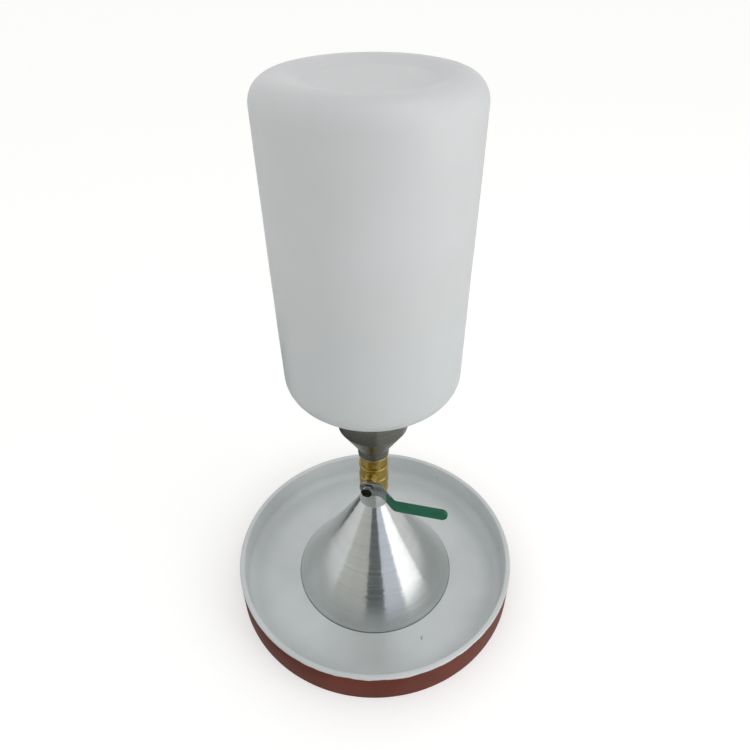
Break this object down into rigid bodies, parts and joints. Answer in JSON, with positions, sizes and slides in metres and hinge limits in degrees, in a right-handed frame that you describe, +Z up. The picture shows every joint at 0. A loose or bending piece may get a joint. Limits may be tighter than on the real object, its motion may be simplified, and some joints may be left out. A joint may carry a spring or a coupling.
{
  "type": "sand cone apparatus",
  "caption": "Sand cone density tester: upside-down plastic jar on an aluminium funnel, brass ball valve with green lever and metal cone, standing in a round base tray.",
  "frame": {"origin": "on the ground at the centre of the base tray's underside", "axes": "+Z up along the common axis of tray, cone, valve, funnel and jar; the valve's stem points to -Y and the closed lever to +X"},
  "size_m": [0.3048, 0.3048, 0.5348],
  "materials": {
    "cast_tray": "matt cast aluminium, red-brown paint on the outer wall",
    "turned_aluminium": "bare metal with fine turning rings",
    "valve_brass": "sand-blasted and machined brass",
    "stem_brass": "turned brass",
    "ball_chrome": "polished plating",
    "plated_steel": "zinc-plated pressed strip",
    "plated_fastener": "bright zinc plating",
    "green_vinyl": "dipped vinyl, soft gloss",
    "white_seal_plastic": "smooth and waxy",
    "seal_rubber": "smooth moulded rubber",
    "jar_plastic": "translucent white blow-moulded polyethylene"
  },
  "bodies": {
    "tray": {"base_tray": "cast_tray"},
    "cone_assembly": {"sand_cone": "turned_aluminium", "valve_body": "valve_brass", "valve_end_cap": "valve_brass", "end_cap_seal": "seal_rubber", "lower_seat": "white_seal_plastic", "upper_seat": "white_seal_plastic", "stem_thrust_washer": "white_seal_plastic", "stem_packing": "white_seal_plastic", "packing_gland": "valve_brass", "upper_funnel": "turned_aluminium"},
    "valve_rotor": {"valve_ball": "ball_chrome", "valve_stem": "stem_brass", "handle_lever": "plated_steel", "handle_sleeve": "green_vinyl", "lock_washer": "plated_fastener", "handle_nut": "plated_fastener"},
    "jar_seal": {"jar_gasket": "seal_rubber"},
    "jar": {"jar": "jar_plastic"}
  },
  "joints": [
    {"name": "cone_lift", "type": "slide", "parent": "tray", "child": "cone_assembly", "axis": [0, 0, 1], "range_m": [0, 0.06]},
    {"name": "valve_turn", "type": "hinge", "parent": "cone_assembly", "child": "valve_rotor", "pos_m": [0, 0, 0.163], "axis": [0, -1, 0], "range_deg": [0, 91.5]},
    {"name": "jar_rise", "type": "slide", "parent": "cone_assembly", "child": "jar_seal", "axis": [0, 0, 1], "range_m": [0, 0.0121]},
    {"name": "jar_turn", "type": "hinge", "parent": "jar_seal", "child": "jar", "pos_m": [0, 0, 0.23], "axis": [0, 0, 1], "range_deg": [0, 864]}
  ],
  "couplings": [
    {"joint": "jar_rise", "follows": "jar_turn", "m_per_rad": 0.00079577}
  ]
}
